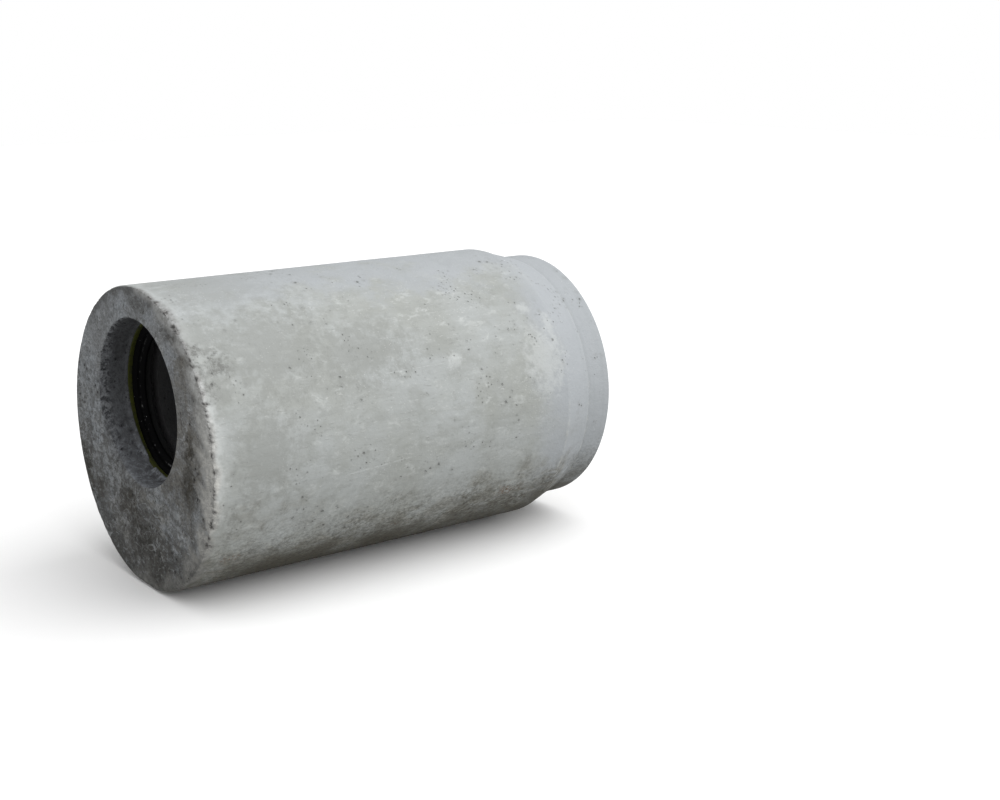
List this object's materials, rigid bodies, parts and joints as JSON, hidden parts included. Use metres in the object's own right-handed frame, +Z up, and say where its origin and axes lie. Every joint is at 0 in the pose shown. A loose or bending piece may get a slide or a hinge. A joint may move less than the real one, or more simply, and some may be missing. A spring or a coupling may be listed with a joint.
{
  "type": "pipe reducer",
  "caption": "Precast concrete eccentric pipe reducer with a plain spigot at the large end and a rubber-sealed socket at the small end.",
  "frame": {"origin": "on the floor, under the middle of the overall length and of the width", "axes": "+X along the pipe, from the small socket end to the large spigot end; +Z up, with the small bore set high, as the reducer lies on its heavy side"},
  "size_m": [0.7, 0.43, 0.4299],
  "materials": {
    "concrete": "matte",
    "rubber": "satin",
    "band": "matte"
  },
  "bodies": {
    "root": {"reducer_body": "concrete", "lip_seal": "rubber", "seal_band": "band"}
  },
  "joints": []
}
